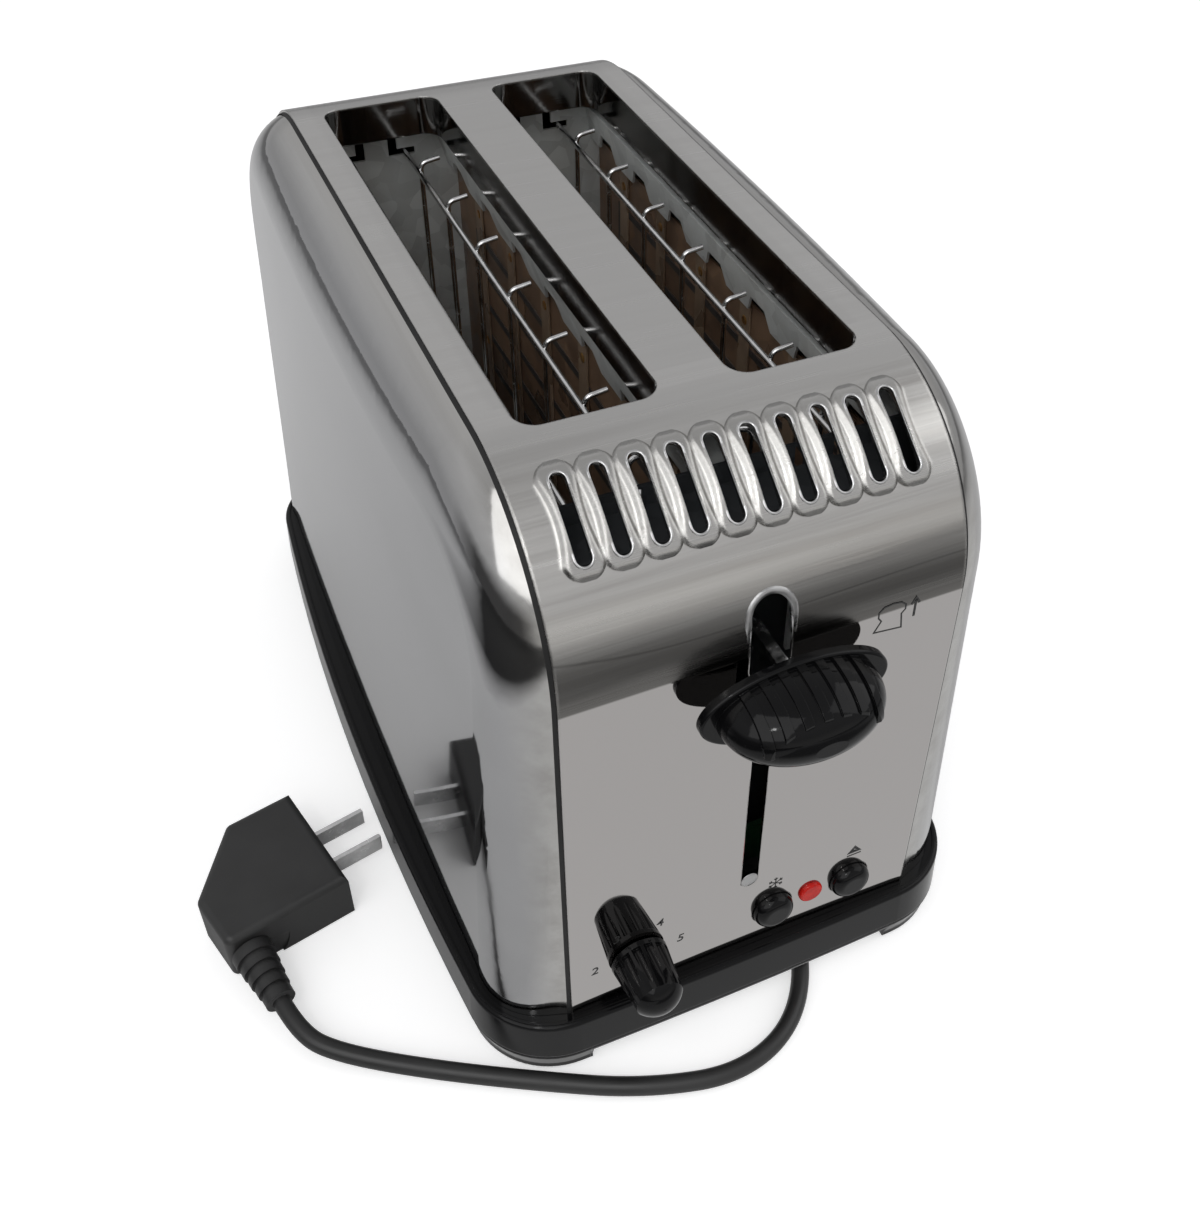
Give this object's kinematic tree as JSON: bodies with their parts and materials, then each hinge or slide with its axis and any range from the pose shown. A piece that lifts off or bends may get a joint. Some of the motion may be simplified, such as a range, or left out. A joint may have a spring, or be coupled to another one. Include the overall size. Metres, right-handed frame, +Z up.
{
  "type": "toaster",
  "caption": "Two-slot pop-up toaster with a wrapped steel body, black moulded base, side lever, brownness dial, push buttons, crumb tray and a free mains cord.",
  "frame": {"origin": "centre of the toaster's footprint at the level it stands on, measured without the free cord", "axes": "+Z up, -Y toward the lever and dial end, +X to the right of someone facing that end"},
  "size_m": [0.2304, 0.3015, 0.2],
  "materials": {
    "polished_steel": "polished stainless steel, brushed on the bend and the top",
    "black_gloss": "moulded glossy black plastic",
    "black_rubber": "black rubber and soft PVC",
    "sheet_steel": "plain galvanised sheet steel",
    "spring_steel": "drawn spring wire",
    "plated_wire": "bright plated steel",
    "mica": "brown flaky mica sheet",
    "mica_light": "pale mica strip with brass eyelets",
    "heating_alloy": "dull grey resistance ribbon",
    "copper_wire": "lacquered copper winding",
    "circuit_laminate": "green circuit laminate",
    "black_plastic": "matte black plastic",
    "red_lens": "translucent red plastic",
    "blade_brass": "bright nickel-washed brass"
  },
  "bodies": {
    "housing": {"base": "black_gloss", "base_screws": "plated_wire", "board_spacers": "black_plastic", "bottom_plate": "sheet_steel", "brownness_control": "black_plastic", "centre_cover": "polished_steel", "centre_rail": "sheet_steel", "control_board": "circuit_laminate", "cord": "black_rubber", "cord_gland": "black_gloss", "cord_sleeve": "black_rubber", "front_bulkhead": "sheet_steel", "guide_rods": "sheet_steel", "heater_board_centre": "mica", "heater_board_left": "mica", "heater_board_right": "mica", "heater_ribbon_centre": "heating_alloy", "heater_ribbon_left": "heating_alloy", "heater_ribbon_right": "heating_alloy", "indicator_lens": "red_lens", "lift_spring": "spring_steel", "magnet_coil": "copper_wire", "magnet_core": "sheet_steel", "mica_bars": "mica_light", "outer_rail_left": "sheet_steel", "outer_rail_right": "sheet_steel", "plug_blades": "blade_brass", "plug_body": "black_rubber", "rear_bulkhead": "sheet_steel", "rubber_feet": "black_rubber", "side_frame_left": "sheet_steel", "side_frame_right": "sheet_steel", "side_panel_left": "polished_steel", "side_panel_right": "polished_steel", "tact_switches": "black_plastic"},
    "carriage": {"carriage": "sheet_steel", "bread_rack_left": "sheet_steel", "bread_rack_right": "sheet_steel", "lever_arm": "sheet_steel", "lever_knob": "black_gloss", "latch_armature": "sheet_steel"},
    "timer": {"timer_shaft": "plated_wire", "timer_knob": "black_gloss"},
    "defrost": {"defrost_button": "black_gloss"},
    "cancel": {"cancel_button": "black_gloss"},
    "tray": {"crumb_tray": "sheet_steel", "crumb_tray_grip": "black_gloss"},
    "guard_left_outer": {"bread_guard_left_outer": "plated_wire"},
    "guard_left_inner": {"bread_guard_left_inner": "plated_wire"},
    "guard_right_inner": {"bread_guard_right_inner": "plated_wire"},
    "guard_right_outer": {"bread_guard_right_outer": "plated_wire"}
  },
  "joints": [
    {"name": "lever_slide", "type": "slide", "parent": "housing", "child": "carriage", "axis": [0, 0, 1], "range_m": [-0.08, 0], "stiffness_N_per_m": 120, "springref_m": 0.03, "deforming": ["lift_spring"]},
    {"name": "timer_turn", "type": "hinge", "parent": "housing", "child": "timer", "pos_m": [-0.0346, -0.125, 0.0416], "axis": [0, -1, 0], "range_deg": [-120, 120]},
    {"name": "defrost_press", "type": "slide", "parent": "housing", "child": "defrost", "axis": [0, 1, 0], "range_m": [0, 0.002], "stiffness_N_per_m": 400, "springref_m": -0.001},
    {"name": "cancel_press", "type": "slide", "parent": "housing", "child": "cancel", "axis": [0, 1, 0], "range_m": [0, 0.002], "stiffness_N_per_m": 400, "springref_m": -0.001},
    {"name": "tray_slide", "type": "slide", "parent": "housing", "child": "tray", "axis": [0, 1, 0], "range_m": [0, 0.21]},
    {"name": "guard_left_outer_slide", "type": "slide", "parent": "housing", "child": "guard_left_outer", "axis": [1, 0, 0], "range_m": [0, 0.0025]},
    {"name": "guard_left_inner_slide", "type": "slide", "parent": "housing", "child": "guard_left_inner", "axis": [-1, 0, 0], "range_m": [0, 0.0025]},
    {"name": "guard_right_outer_slide", "type": "slide", "parent": "housing", "child": "guard_right_outer", "axis": [-1, 0, 0], "range_m": [0, 0.0025]},
    {"name": "guard_right_inner_slide", "type": "slide", "parent": "housing", "child": "guard_right_inner", "axis": [1, 0, 0], "range_m": [0, 0.0025]}
  ],
  "couplings": [
    {"joint": "guard_left_outer_slide", "follows": "lever_slide", "ratio": -0.03125},
    {"joint": "guard_left_inner_slide", "follows": "lever_slide", "ratio": -0.03125},
    {"joint": "guard_right_outer_slide", "follows": "lever_slide", "ratio": -0.03125},
    {"joint": "guard_right_inner_slide", "follows": "lever_slide", "ratio": -0.03125}
  ]
}
